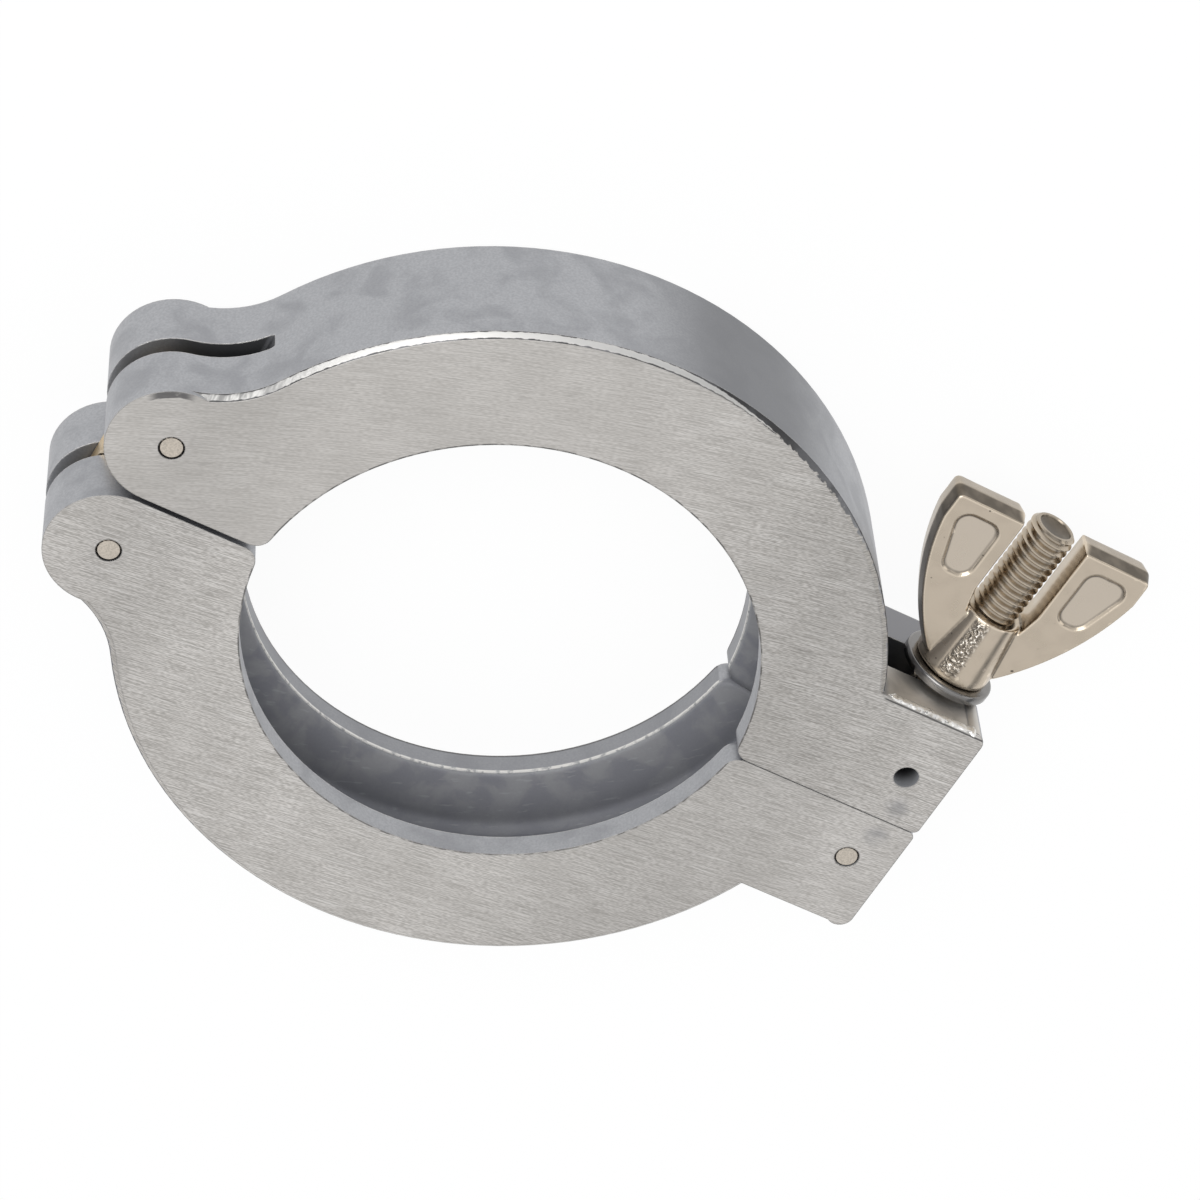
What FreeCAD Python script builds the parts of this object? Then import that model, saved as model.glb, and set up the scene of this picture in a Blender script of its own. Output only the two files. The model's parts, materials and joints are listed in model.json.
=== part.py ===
import FreeCAD, Part
import math
import os

from FreeCAD import Vector

# Hinged clamp that closes on a pair of DN 50 small-flange rims and their centring ring.
# Sizes are in millimetres. The origin is on the ring's axis, in the parting plane, at
# mid-thickness. X runs from the hinge to the closing bolt, Y crosses the parting plane,
# and Z is the axis of the ring. The clamp lies on its back face.

# Ring section, sized from the rim that the groove takes
flange_rim_radius = 37.5
rim_clearance = 1.0
lip_overlap = 6.5
ring_wall = 7.5
ring_thickness = 19.2
lip_thickness = 3.3
flank_angle = 15.0
groove_corner = 1.0
edge_bevel = 0.7

# Both halves have their arcs struck from beyond the parting plane, because they only
# come to a full circle when a flange pair holds them apart.
bore_shift = 2.3
rim_shift = 2.8
bolt_side_gap = 0.1
hinge_side_gap = 0.6
bore_corner = 2.0

# Hinge: one link plate between slotted ears, on two pressed pins
pin_radius = 1.5
pin_recess = 0.35
pin_chamfer = 0.2
hinge_past_ring = 0.1
hinge_offset = 7.8
ear_fillet = 13.0
link_thickness = 2.4
link_side_play = 0.2
link_end_play = 1.7
link_eye_radius = 4.6
slot_corner = 0.5
ear_low_angle = 225.0

# Lug with the slot that the swing bolt lies in
bolt_past_ring = 4.6
bolt_pin_offset = 6.7
lug_past_bolt = 5.5
lug_corner = 0.8
seat_past_bolt = 9.15
nose_radius = 1.7
nose_rise = 0.25
bolt_slot_width = 6.4
slot_floor_wall = 3.9

# Swing bolt, M6
thread_radius = 2.93
eye_radius = 5.0
eye_side_play = 0.25
neck_length = 3.2
neck_angle = 45.0
bolt_lean = 1.0
bolt_end_chamfer = 0.5
bolt_past_nut = 22.3

# Running clearances
pin_running = 0.06
nut_running = 0.07
washer_running = 0.25
swing_clearance = 0.06
face_clearance = 0.05

# Washer and wing nut
washer_radius = 5.8
washer_thickness = 1.2
washer_edge = 0.2
hub_base_radius = 4.85
hub_top_radius = 3.85
hub_height = 9.0
hub_base_round = 0.8
mouth_chamfer = 0.45
wing_span = 27.0
wing_height = 22.2
wing_thickness = 4.4
wing_gap = 8.1
wing_draft = 0.3
wing_foot_height = 1.3
wing_edge_bulge = 1.4
wing_shoulder = 3.6
wing_corner = 0.7
wing_root_rise = 2.6
wing_root_round = 1.6
pad_depth = 0.4
pad_slope = 0.35
pad_inner_margin = 1.9
pad_top_margin = 1.9
pad_top_width = 6.4
pad_low_width = 3.8
pad_length = 8.3
pad_corner = 1.8

half_thickness = ring_thickness / 2
bore_radius = flange_rim_radius - lip_overlap
groove_radius = flange_rim_radius + rim_clearance
ring_radius = groove_radius + ring_wall
blank_depth = ring_radius / 2
hinge_reach = ring_radius + hinge_past_ring
bolt_pin_reach = ring_radius + bolt_past_ring
lug_reach = bolt_pin_reach + lug_past_bolt
seat_height = bolt_pin_offset + seat_past_bolt
ear_radius = hinge_offset - hinge_side_gap / 2
link_slot_width = link_thickness + 2 * link_side_play
link_slot_floor = hinge_reach - link_eye_radius - link_end_play
bolt_slot_floor = groove_radius + slot_floor_wall
pin_length = ring_thickness - 2 * pin_recess
past_all = 2 * (lug_reach + ring_thickness)
same_place = 0.01
full_turn = 360


def box(x0, x1, y0, y1, z0, z1):
    return Part.makeBox(x1 - x0, y1 - y0, z1 - z0, Vector(x0, y0, z0))


def post(radius, x, y, z0, z1):
    return Part.makeCylinder(radius, z1 - z0, Vector(x, y, z0))


def arc(center, radius, start, end, z=0.0):
    """Arc edge from the start angle to the end angle, in degrees, either way round."""
    angles = (start, (start + end) / 2, end)
    points = [polar(center, radius, angle, z) for angle in angles]
    return Part.Arc(*points).toShape()


def polar(center, radius, angle, z=0.0):
    turn = math.radians(angle)
    return Vector(center[0] + radius * math.cos(turn), center[1] + radius * math.sin(turn), z)


def heading(start, end):
    return math.degrees(math.atan2(end[1] - start[1], end[0] - start[0]))


def line(start, end):
    return Part.LineSegment(start, end).toShape()


def circles_meet(first, first_radius, second, second_radius, side):
    """Point where two circles cross, on the left (+1) or right (-1) of first to second."""
    reach = math.hypot(second[0] - first[0], second[1] - first[1])
    along = (first_radius ** 2 - second_radius ** 2 + reach ** 2) / (2 * reach)
    across = side * math.sqrt(first_radius ** 2 - along ** 2)
    ux = (second[0] - first[0]) / reach
    uy = (second[1] - first[1]) / reach
    return (first[0] + ux * along - uy * across, first[1] + uy * along + ux * across)


def upright_edges(shape, places):
    """Edges along Z through the given points of the plan."""
    found = []
    for edge in shape.Edges:
        ends = [vertex.Point for vertex in edge.Vertexes]
        if len(ends) != 2 or abs(ends[0].z - ends[1].z) < half_thickness:
            continue
        for x, y in places:
            if math.hypot(ends[0].x - x, ends[0].y - y) < same_place:
                found.append(edge)
    return found


def casting():
    """One half, as it lies on the +Y side of the parting plane."""
    bolt_face = bolt_side_gap / 2
    hinge_face = hinge_side_gap / 2
    bore_right = math.sqrt(bore_radius ** 2 - (bolt_face + bore_shift) ** 2)
    bore_left = -math.sqrt(bore_radius ** 2 - (hinge_face + bore_shift) ** 2)

    body = bevelled_blank()
    body = body.cut(box(-past_all, 0, -past_all, hinge_face, -past_all, past_all))
    body = body.cut(box(0, past_all, -past_all, bolt_face, -past_all, past_all))
    body = body.cut(below_ear())
    body = body.cut(post(bore_radius, 0, -bore_shift, -past_all, past_all))
    body = body.makeFillet(
        bore_corner, upright_edges(body, [(bore_right, bolt_face), (bore_left, hinge_face)]))
    body = body.makeFillet(lug_corner, upright_edges(body, [(lug_reach, bolt_face)]))
    body = body.cut(flange_groove())
    body = body.cut(slot(-past_all, -link_slot_floor, link_slot_width))
    body = body.cut(slot(bolt_slot_floor, past_all, bolt_slot_width))
    body = body.cut(post(pin_radius, -hinge_reach, hinge_offset, -past_all, past_all))
    body = body.cut(post(pin_radius, bolt_pin_reach, bolt_pin_offset, -past_all, past_all))
    return body.removeSplitter()


def bevelled_blank():
    """Solid blank of a half, carried on below the parting plane.

    Its outside edges are bevelled, with few faces, where the casting has them rounded. The
    ear keeps its full round, with sharp edges."""
    ring_center = (0.0, -rim_shift)
    hinge = (-hinge_reach, hinge_offset)
    nose = (lug_reach - nose_radius, seat_height + nose_rise - nose_radius)
    seat_inner = math.sqrt(ring_radius ** 2 - (seat_height + rim_shift) ** 2)
    nose_end = 180 - math.degrees(math.asin((seat_height - nose[1]) / nose_radius))
    fillet = circles_meet(
        ring_center, ring_radius + ear_fillet, hinge, ear_radius + ear_fillet, -1)
    ear_low = polar(hinge, ear_radius, ear_low_angle)
    tail = Vector(ear_low.x + ear_low.y + blank_depth, -blank_depth, 0)
    ring_arc = arc(
        ring_center, ring_radius,
        heading(ring_center, (seat_inner, seat_height)), heading(ring_center, fillet))
    fillet_arc = arc(
        fillet, ear_fillet,
        heading(fillet, ring_center) % full_turn,
        heading(fillet, hinge) % full_turn)
    ear_arc = arc(hinge, ear_radius, heading(hinge, fillet), ear_low_angle)
    edges = [
        line(tail, Vector(lug_reach, -blank_depth, 0)),
        line(Vector(lug_reach, -blank_depth, 0), polar(nose, nose_radius, 0)),
        arc(nose, nose_radius, 0, nose_end),
        line(polar(nose, nose_radius, nose_end), Vector(seat_inner, seat_height, 0)),
        ring_arc,
        fillet_arc,
        ear_arc,
        line(ear_low, tail),
    ]
    plan = Part.Wire(Part.__sortEdges__(edges))
    body = Part.Face(plan).extrude(Vector(0, 0, ring_thickness))
    body.translate(Vector(0, 0, -half_thickness))
    outside = [ring_arc, fillet_arc, ear_arc, line(ear_low, tail)]
    body = body.makeChamfer(edge_bevel, face_edges(body, outside))
    return body.fuse(post(ear_radius, hinge[0], hinge[1], -half_thickness, half_thickness))


def face_edges(body, plan_edges):
    """Edges of the front and back faces that lie over the given edges of the plan."""
    middles = [edge.valueAt((edge.FirstParameter + edge.LastParameter) / 2) for edge in plan_edges]
    found = []
    for edge in body.Edges:
        middle = edge.valueAt((edge.FirstParameter + edge.LastParameter) / 2)
        if abs(abs(middle.z) - half_thickness) > same_place:
            continue
        if any(math.hypot(middle.x - m.x, middle.y - m.y) < same_place for m in middles):
            found.append(edge)
    return found


def below_ear():
    """What lies outside the round of the ear, between it and the parting plane."""
    corner = box(
        -past_all, -hinge_reach, -past_all, hinge_offset, -past_all, past_all)
    return corner.cut(post(ear_radius, -hinge_reach, hinge_offset, -past_all, past_all))


def flange_groove():
    """Turned groove whose 15 degree flanks draw the two flanges together.

    Its floor's corners are bevelled, with few faces, where the casting has them rounded."""
    depth = groove_radius - bore_radius
    slope = math.tan(math.radians(flank_angle))
    mouth = half_thickness - lip_thickness
    inner = bore_radius - depth
    points = [
        Vector(inner, 0, -mouth - depth * slope),
        Vector(groove_radius, 0, -mouth + depth * slope),
        Vector(groove_radius, 0, mouth - depth * slope),
        Vector(inner, 0, mouth + depth * slope),
    ]
    profile = Part.Face(Part.makePolygon(points + points[:1]))
    ring = profile.revolve(Vector(0, 0, 0), Vector(0, 0, 1), full_turn)
    floor_edges = [
        edge for edge in ring.Edges
        if isinstance(edge.Curve, Part.Circle) and abs(edge.Curve.Radius - groove_radius) < same_place
    ]
    ring = ring.makeChamfer(groove_corner, floor_edges)
    ring.translate(Vector(0, -bore_shift, 0))
    return ring


def slot(x0, x1, width):
    """Slot at mid-thickness, open along Y, with rounded corners on its floor."""
    cutter = box(x0, x1, -past_all, past_all, -width / 2, width / 2)
    floor = x1 if x0 < 0 else x0
    corners = [
        edge for edge in cutter.Edges
        if all(abs(vertex.X - floor) < same_place for vertex in edge.Vertexes)
        and abs(edge.Vertexes[0].Y - edge.Vertexes[1].Y) > width
    ]
    return cutter.makeFillet(slot_corner, corners)


def upper_half():
    return casting()


def lower_half():
    return casting().mirror(Vector(0, 0, 0), Vector(0, 1, 0))


def pin(x, y):
    """Straight pin with chamfered ends, pressed in below both faces."""
    end = pin_length / 2
    points = [
        Vector(0, 0, -end),
        Vector(pin_radius - pin_chamfer, 0, -end),
        Vector(pin_radius, 0, -end + pin_chamfer),
        Vector(pin_radius, 0, end - pin_chamfer),
        Vector(pin_radius - pin_chamfer, 0, end),
        Vector(0, 0, end),
    ]
    solid = turned(points, Vector(0, 0, 1))
    solid.translate(Vector(x, y, 0))
    return solid


def turned(points, axis):
    profile = Part.Face(Part.makePolygon(points + points[:1]))
    return profile.revolve(Vector(0, 0, 0), axis, full_turn)


def hinge_link():
    """Plate with two eyes that joins the halves inside their slots."""
    edges = [
        arc((-hinge_reach, hinge_offset), link_eye_radius, 0, 180),
        line(
            Vector(-hinge_reach - link_eye_radius, hinge_offset, 0),
            Vector(-hinge_reach - link_eye_radius, -hinge_offset, 0)),
        arc((-hinge_reach, -hinge_offset), link_eye_radius, 180, 360),
        line(
            Vector(-hinge_reach + link_eye_radius, -hinge_offset, 0),
            Vector(-hinge_reach + link_eye_radius, hinge_offset, 0)),
    ]
    plate = Part.Face(Part.Wire(edges)).extrude(Vector(0, 0, link_thickness))
    plate.translate(Vector(0, 0, -link_thickness / 2))
    for y in (-hinge_offset, hinge_offset):
        plate = plate.cut(post(pin_radius + pin_running, -hinge_reach, y, -past_all, past_all))
    return plate


# The bolt, washer and nut are made with the pin at the origin and the bolt along +Y,
# and then leaned out and moved to the pin.

nose_x = lug_reach - nose_radius - bolt_pin_reach
nose_y = seat_height + nose_rise - nose_radius + bolt_pin_offset
washer_base = math.hypot(nose_x, nose_y) + nose_radius + swing_clearance
nut_base = washer_base + washer_thickness + face_clearance
bolt_end = nut_base + bolt_past_nut


def on_bolt_pin(shape):
    shape.rotate(Vector(0, 0, 0), Vector(0, 0, 1), -bolt_lean)
    shape.translate(Vector(bolt_pin_reach, -bolt_pin_offset, 0))
    return shape


def swing_bolt():
    """Flat eye with a round shank that is threaded almost to the eye."""
    eye_thickness = bolt_slot_width - 2 * eye_side_play
    eye = post(eye_radius, 0, 0, -eye_thickness / 2, eye_thickness / 2)
    neck_start = eye_radius * math.cos(math.asin(thread_radius / eye_radius))
    neck_points = [
        Vector(0, 0, 0),
        polar((0, 0), eye_radius, neck_angle),
        Vector(thread_radius, neck_start + neck_length, 0),
        Vector(thread_radius, bolt_end - bolt_end_chamfer, 0),
        Vector(thread_radius - bolt_end_chamfer, bolt_end, 0),
        Vector(0, bolt_end, 0),
    ]
    shank = turned(neck_points, Vector(0, 1, 0))
    slab = box(-past_all, past_all, -past_all, past_all, -eye_thickness / 2, eye_thickness / 2)
    solid = eye.fuse(shank.common(slab))
    hole = post(pin_radius + pin_running, 0, 0, -past_all, past_all)
    return on_bolt_pin(solid.cut(hole).removeSplitter())


def flat_washer():
    """Plain washer, with the rounded edge of a stamping on its upper side."""
    bore = thread_radius + washer_running
    top = washer_base + washer_thickness
    points = [
        Vector(bore, washer_base, 0),
        Vector(washer_radius, washer_base, 0),
        Vector(washer_radius, top - washer_edge, 0),
        Vector(washer_radius - washer_edge, top, 0),
        Vector(bore, top, 0),
    ]
    return on_bolt_pin(turned(points, Vector(0, 1, 0)))


def wing_outline(inset, z):
    """Outline of the right-hand wing, drawn in by the inset, at height z."""
    outer = wing_span / 2 - inset
    inner = wing_gap / 2 + inset
    top = nut_base + wing_height - inset
    foot = Vector(hub_base_radius - inset, nut_base + wing_foot_height + inset, z)
    shoulder = Vector(outer, top - wing_shoulder, z)
    chord = shoulder - foot
    belly = (foot + shoulder) / 2 + Vector(chord.y, -chord.x, 0).normalize() * wing_edge_bulge
    corner = (outer - wing_corner, top - wing_corner)
    hub_top = nut_base + hub_height
    root = Vector(inner, hub_top + wing_root_rise, z)
    root_low = Vector(hub_top_radius - inset, hub_top - mouth_chamfer - inset, z)
    root_start, root_middle, root_end = corner_arc(
        Vector(inner, top, z), root, root_low, wing_root_round)
    return Part.Wire([
        Part.Arc(foot, belly, shoulder).toShape(),
        line(shoulder, polar(corner, wing_corner, 0, z)),
        arc(corner, wing_corner, 0, 90, z),
        line(polar(corner, wing_corner, 90, z), Vector(inner, top, z)),
        line(Vector(inner, top, z), root_start),
        Part.Arc(root_start, root_middle, root_end).toShape(),
        line(root_end, root_low),
        line(root_low, Vector(0, root_low.y, z)),
        line(Vector(0, root_low.y, z), Vector(0, foot.y, z)),
        line(Vector(0, foot.y, z), foot),
    ])


def corner_arc(before, corner, after, radius):
    """Start, middle and end of the arc that rounds a corner between two straight sides."""
    back = (before - corner).normalize()
    ahead = (after - corner).normalize()
    half = back.getAngle(ahead) / 2
    cut = radius / math.tan(half)
    middle = corner + (back + ahead).normalize() * (radius / math.sin(half) - radius)
    return corner + back * cut, middle, corner + ahead * cut


def rounded_polygon(corners, radius, z):
    """Closed wire through straight sides with every corner rounded to the radius."""
    edges = []
    last = None
    first = None
    count = len(corners)
    for index, corner in enumerate(corners):
        start, middle, end = corner_arc(
            corners[index - 1], corner, corners[(index + 1) % count], radius)
        if last is not None:
            edges.append(line(last, start))
        else:
            first = start
        edges.append(Part.Arc(start, middle, end).toShape())
        last = end
    edges.append(line(last, first))
    wire = Part.Wire(edges)
    wire.translate(Vector(0, 0, z))
    return wire


def pad_outline(inset, z):
    """Outline of the sunk pad on a wing, narrower at its foot, drawn in by the inset."""
    inner = wing_gap / 2 + pad_inner_margin + inset
    top = nut_base + wing_height - pad_top_margin - inset
    low = nut_base + wing_height - pad_top_margin - pad_length + inset
    corners = [
        Vector(inner, low, 0),
        Vector(inner + pad_low_width - 2 * inset, low, 0),
        Vector(inner + pad_top_width - 2 * inset, top, 0),
        Vector(inner, top, 0),
    ]
    return rounded_polygon(corners, pad_corner - inset, z)


def wing():
    """Right-hand wing, with draft on both sides of its mid-plane and a pad on each face."""
    face = wing_thickness / 2
    front = Part.makeLoft([wing_outline(0, 0), wing_outline(wing_draft, face)], True, True)
    floor = pad_outline(pad_slope, face - pad_depth)
    mouth = pad_outline(0, face)
    above = pad_outline(0, face + pad_depth)
    front = front.cut(Part.makeLoft([floor, mouth], True, True))
    front = front.cut(Part.makeLoft([mouth, above], True, True))
    return front.fuse(front.mirror(Vector(0, 0, 0), Vector(0, 0, 1)))


def wing_nut():
    """Conical hub with two wings, a chamfered mouth and a sunk pad on each wing face."""
    top = nut_base + hub_height
    hub = turned([
        Vector(0, nut_base, 0),
        Vector(hub_base_radius - hub_base_round, nut_base, 0),
        Vector(hub_base_radius, nut_base + hub_base_round, 0),
        Vector(hub_top_radius, top, 0),
        Vector(0, top, 0),
    ], Vector(0, 1, 0))
    side = wing()
    solid = hub.fuse(side).fuse(side.mirror(Vector(0, 0, 0), Vector(1, 0, 0)))
    bore = thread_radius + nut_running
    below = nut_base - washer_thickness
    solid = solid.cut(turned([
        Vector(0, below, 0),
        Vector(bore, below, 0),
        Vector(bore, top - mouth_chamfer, 0),
        Vector(bore + mouth_chamfer, top, 0),
        Vector(bore + mouth_chamfer, top + wing_height, 0),
        Vector(0, top + wing_height, 0),
    ], Vector(0, 1, 0)))
    return on_bolt_pin(solid.removeSplitter())


parts = {
    "lower_half": lower_half(),
    "upper_half": upper_half(),
    "hinge_link": hinge_link(),
    "lower_hinge_pin": pin(-hinge_reach, -hinge_offset),
    "upper_hinge_pin": pin(-hinge_reach, hinge_offset),
    "bolt_pin": pin(bolt_pin_reach, -bolt_pin_offset),
    "swing_bolt": swing_bolt(),
    "flat_washer": flat_washer(),
    "wing_nut": wing_nut(),
}

os.makedirs("parts", exist_ok=True)
for name, shape in parts.items():
    print(name, len(shape.Solids), shape.isValid(), round(shape.Volume, 1))
    shape.Solids[0].exportStep("parts/" + name + ".step")
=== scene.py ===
"""Looks of a hinged vacuum flange clamp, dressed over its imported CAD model.

Two die-cast halves with ground faces, a swing bolt with its thread cut, a cast wing nut, a
stamped washer, three serrated pins and a zinc-plated link."""

import json
import math

import bmesh
import bpy
from bpy.props import FloatProperty, FloatVectorProperty, IntProperty, PointerProperty
from mathutils import Matrix, Vector, noise


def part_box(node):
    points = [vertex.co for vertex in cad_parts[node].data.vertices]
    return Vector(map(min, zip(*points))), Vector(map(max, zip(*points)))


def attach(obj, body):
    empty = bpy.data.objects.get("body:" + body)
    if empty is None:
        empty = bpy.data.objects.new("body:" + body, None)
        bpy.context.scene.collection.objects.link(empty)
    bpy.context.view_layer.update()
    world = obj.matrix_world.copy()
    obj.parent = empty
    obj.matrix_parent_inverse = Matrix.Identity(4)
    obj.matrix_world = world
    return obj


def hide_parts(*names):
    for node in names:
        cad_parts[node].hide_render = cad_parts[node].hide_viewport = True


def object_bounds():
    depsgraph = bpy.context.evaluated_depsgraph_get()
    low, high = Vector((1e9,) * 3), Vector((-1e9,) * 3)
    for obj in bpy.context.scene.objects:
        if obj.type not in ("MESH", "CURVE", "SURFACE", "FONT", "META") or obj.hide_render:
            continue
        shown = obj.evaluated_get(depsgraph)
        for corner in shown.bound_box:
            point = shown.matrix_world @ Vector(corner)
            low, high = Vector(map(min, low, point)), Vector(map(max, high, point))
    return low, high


bl_info = {
    "name": "Vacuum flange clamp looks",
    "version": (1, 0, 0),
    "blender": (4, 5, 0),
    "location": "3D View > Sidebar > Clamp",
    "description": "Dresses a hinged vacuum flange clamp in its cast, ground and plated finishes",
    "category": "Object",
}

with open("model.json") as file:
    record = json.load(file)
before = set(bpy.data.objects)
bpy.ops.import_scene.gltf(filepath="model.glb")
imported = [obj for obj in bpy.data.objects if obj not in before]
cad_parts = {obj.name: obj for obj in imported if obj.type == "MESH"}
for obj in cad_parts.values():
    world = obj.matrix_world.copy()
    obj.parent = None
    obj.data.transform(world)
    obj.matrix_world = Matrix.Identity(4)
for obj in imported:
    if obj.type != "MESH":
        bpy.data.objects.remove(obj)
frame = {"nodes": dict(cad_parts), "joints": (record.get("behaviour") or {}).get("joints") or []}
cad_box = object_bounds()
joints = {joint["name"]: joint for joint in frame["joints"]}

MM = 0.001
FULL_TURN = 2 * math.pi
SLOT_ALUMINIUM = "cast_aluminium"
SLOT_PIN = "steel_pin"
SLOT_NICKEL = "nickel_plated_steel"

# Places on a half casting, whose arcs are struck beyond the parting plane by the shift
ARC_SHIFT = 2.3 * MM
BORE_RADIUS = 31.1 * MM
GROOVE_RADIUS = 38.6 * MM
GROOVE_HALF = 6.4 * MM
EAR_PIN_X = -46.1 * MM
EAR_PIN_Y = 7.8 * MM
LINK_SLOT_END_X = -39.8 * MM
LINK_SLOT_HALF = 1.4 * MM
LUG_START = 42 * MM
BURR_FOOT_Y = 15.4 * MM
BOLT_PIN_X = 50.6 * MM
BOLT_PIN_Y = 6.7 * MM
BOLT_SLOT_HALF = 3.2 * MM
BELT_MIDDLE_X = 20 * MM

# Sizes of the turned pieces and the burr
THREAD_CREST = 2.93 * MM
THREAD_FLANK = math.radians(30)
WASHER_BORE = 3.18 * MM
HUB_BORE = 3.2 * MM
PIN_CHAMFER = 0.1 * MM
BURR_STEP = 0.12 * MM
BURR_SIDES = 14

# Colours that several finishes share
# Painted shade along the bore's edges
BORE_EDGE_SHADE = "4C4B4B"
# Painted shade along the rounded edge, beside the face and under the seat's burr
EDGE_SHADE = "454444"
SCRATCH_FLOOR = "8B8884"
# Dirt in the nickel's pits, and painted shade in its creases
NICKEL_DIRT_AND_SHADE = "3A342C"


def linear(hex_colour):
    """Linear red, green and blue of an sRGB hex colour."""
    values = [int(hex_colour[place:place + 2], 16) / 255 for place in (0, 2, 4)]
    return [v / 12.92 if v <= 0.04045 else ((v + 0.055) / 1.055) ** 2.4 for v in values]


def length(name, description, default_mm):
    """A size that a user would change, stored in metres."""
    return FloatProperty(
        name=name, description=description, default=default_mm * MM, min=0.0,
        unit="LENGTH", subtype="DISTANCE", precision=5)


def colour(name, description, hex_colour):
    """A colour that a user would change, written in sRGB and stored linear."""
    return FloatVectorProperty(
        name=name, description=description, subtype="COLOR", size=3, min=0.0, max=1.0,
        default=linear(hex_colour))


class ClampFinish(bpy.types.PropertyGroup):
    """Colours and grain of the halves and the link."""

    ground_light: colour("Ground face", "Colour of the ground face between scratches", "E0DCD7")
    ground_dark: colour("Scratches", "Colour at the bottom of the grinding scratches", "A8A49E")
    skin_light: colour("Cast skin", "Colour of the blasted outer skin", "B6B7BA")
    skin_dark: colour("Cast stain", "Colour of the darker patches of the skin", "97989C")
    groove: colour("Groove", "Colour of the as-cast groove", "9FA0A6")
    # Also the colour of the painted highlight on the rounded outer edge
    bright_edge: colour("Bright edge", "Colour of rubbed edges and burrs", "E9E7E3")
    zinc: colour("Zinc plating", "Colour of the yellow passivated zinc", "E4D9C6")
    scratch_length: length("Scratch length", "Length of a grinding scratch", 4.5)
    scratch_width: length("Scratch width", "Spacing of the grinding scratches", 0.09)
    scratch_angle: FloatProperty(
        name="Scratch angle", description="Direction of the scratches from +X", unit="ROTATION",
        default=math.radians(13))
    grain: length("Skin grain", "Spacing of the grain on the cast skin", 0.28)
    edge_wear: length("Edge wear", "Width of the rubbed edges", 0.2)


class ThreadSizes(bpy.types.PropertyGroup):
    """Sizes of the thread and the end of the swing bolt."""

    pitch: length("Pitch", "Advance of the thread in one turn", 1.0)
    depth: length("Depth", "Depth of the thread below its crest", 0.42)
    start: length("Start", "Distance from the pin to where the thread runs out", 9.0)
    dish: length("Dish", "Depth of the hollow in the bolt's end", 0.5)
    dish_radius: length("Dish radius", "Radius of the hollow in the bolt's end", 2.1)
    steps: IntProperty(name="Steps", description="Steps in one turn of the thread", default=48)


class NutSizes(bpy.types.PropertyGroup):
    """Softness and roughness of the cast wing nut."""

    voxel: length("Voxel", "Size of the cells that the casting is rounded on", 0.145)
    smoothing: IntProperty(name="Smoothing", description="Rounds of smoothing", default=12)
    spatter: length("Spatter", "Height of the rough band on the hub", 0.1)
    nickel: colour("Nickel", "Colour of the plating", "C5B8A6")
    washer: colour("Washer", "Colour of the washer's plating", "868482")


class PinSizes(bpy.types.PropertyGroup):
    """Serrated ends of the three pins."""

    teeth: IntProperty(name="Teeth", description="Serrations round a pin", default=14)
    tooth_depth: length("Tooth depth", "Depth of a serration", 0.17)
    end_radius: length("End radius", "Radius of the flat end", 1.26)
    proud: length("Proud", "How far an end stands beyond the plain pin's", 0.22)
    steel: colour("Steel", "Colour of the drawn steel", "D6CCBE")


class BurrSizes(bpy.types.PropertyGroup):
    """Place and size of the burr on the seat's front edge."""

    seat_height: length("Seat", "Height of the seat above the parting plane", 15.85)
    start: length("Start", "Distance of the burr's inner end from the ring's axis", 42.4)
    end: length("End", "Distance of the burr's outer end from the ring's axis", 54.7)
    width: length("Width", "Half-width of the burr", 0.7)


class StageSettings(bpy.types.PropertyGroup):
    """Camera, floor and lamps."""

    camera_place: FloatVectorProperty(
        name="Camera", description="Place of the camera", subtype="TRANSLATION", unit="LENGTH",
        default=(-0.17214, 0.28226, 0.46274))
    camera_aim: FloatVectorProperty(
        name="Aim", description="Point at the middle of the picture", subtype="TRANSLATION",
        unit="LENGTH", default=(0.009918, 0.006387, 0.0))
    camera_roll: FloatProperty(
        name="Roll", description="Turn of the camera about its own axis", unit="ROTATION",
        default=math.radians(175.46))
    lens: FloatProperty(
        name="Lens", description="Focal length on a 36 mm sensor", subtype="DISTANCE_CAMERA",
        default=146.9)
    floor_size: length("Floor", "Side of the square floor", 6000)


GROUPS = {
    "clamp_finish": ClampFinish,
    "clamp_thread": ThreadSizes,
    "clamp_nut": NutSizes,
    "clamp_pins": PinSizes,
    "clamp_burr": BurrSizes,
    "clamp_stage": StageSettings,
}


def new_material(name):
    """Material with an empty node tree, and that tree."""
    material = bpy.data.materials.new(name)
    material.use_nodes = True
    material.node_tree.nodes.clear()
    return material, material.node_tree


def add_node(tree, kind, inputs=None, **settings):
    """Adds a node. Each input is a value, or a socket or node that is linked to it."""
    node = tree.nodes.new(kind)
    for name, value in settings.items():
        setattr(node, name, value)
    for place, value in (inputs or {}).items():
        if isinstance(value, bpy.types.Node):
            value = value.outputs[0]
        if isinstance(value, bpy.types.NodeSocket):
            tree.links.new(value, node.inputs[place])
        else:
            node.inputs[place].default_value = value
    return node


def where_all(tree, first, *others):
    """Share that is full only where all the shares are."""
    for other in others:
        first = add_node(tree, "ShaderNodeMath", {0: first, 1: other}, operation="MULTIPLY")
    return first


def where_either(tree, first, second):
    """Share that is full where one of the two is."""
    return add_node(tree, "ShaderNodeMath", {0: first, 1: second}, operation="MAXIMUM")


def coated(tree, base, *coats, blend="MIX"):
    """Colour of the base under its coats: pairs of a share and a colour, the last on top.

    A colour is an sRGB hex value, a linear colour or a socket."""
    for share, coat in coats:
        values = {0: share, 6: base, 7: coat}
        for place in (6, 7):
            if isinstance(values[place], str):
                values[place] = linear(values[place])
            if not isinstance(values[place], bpy.types.NodeSocket):
                values[place] = (*values[place], 1.0)
        base = add_node(
            tree, "ShaderNodeMix", values, data_type="RGBA", blend_type=blend).outputs[2]
    return base


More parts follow.
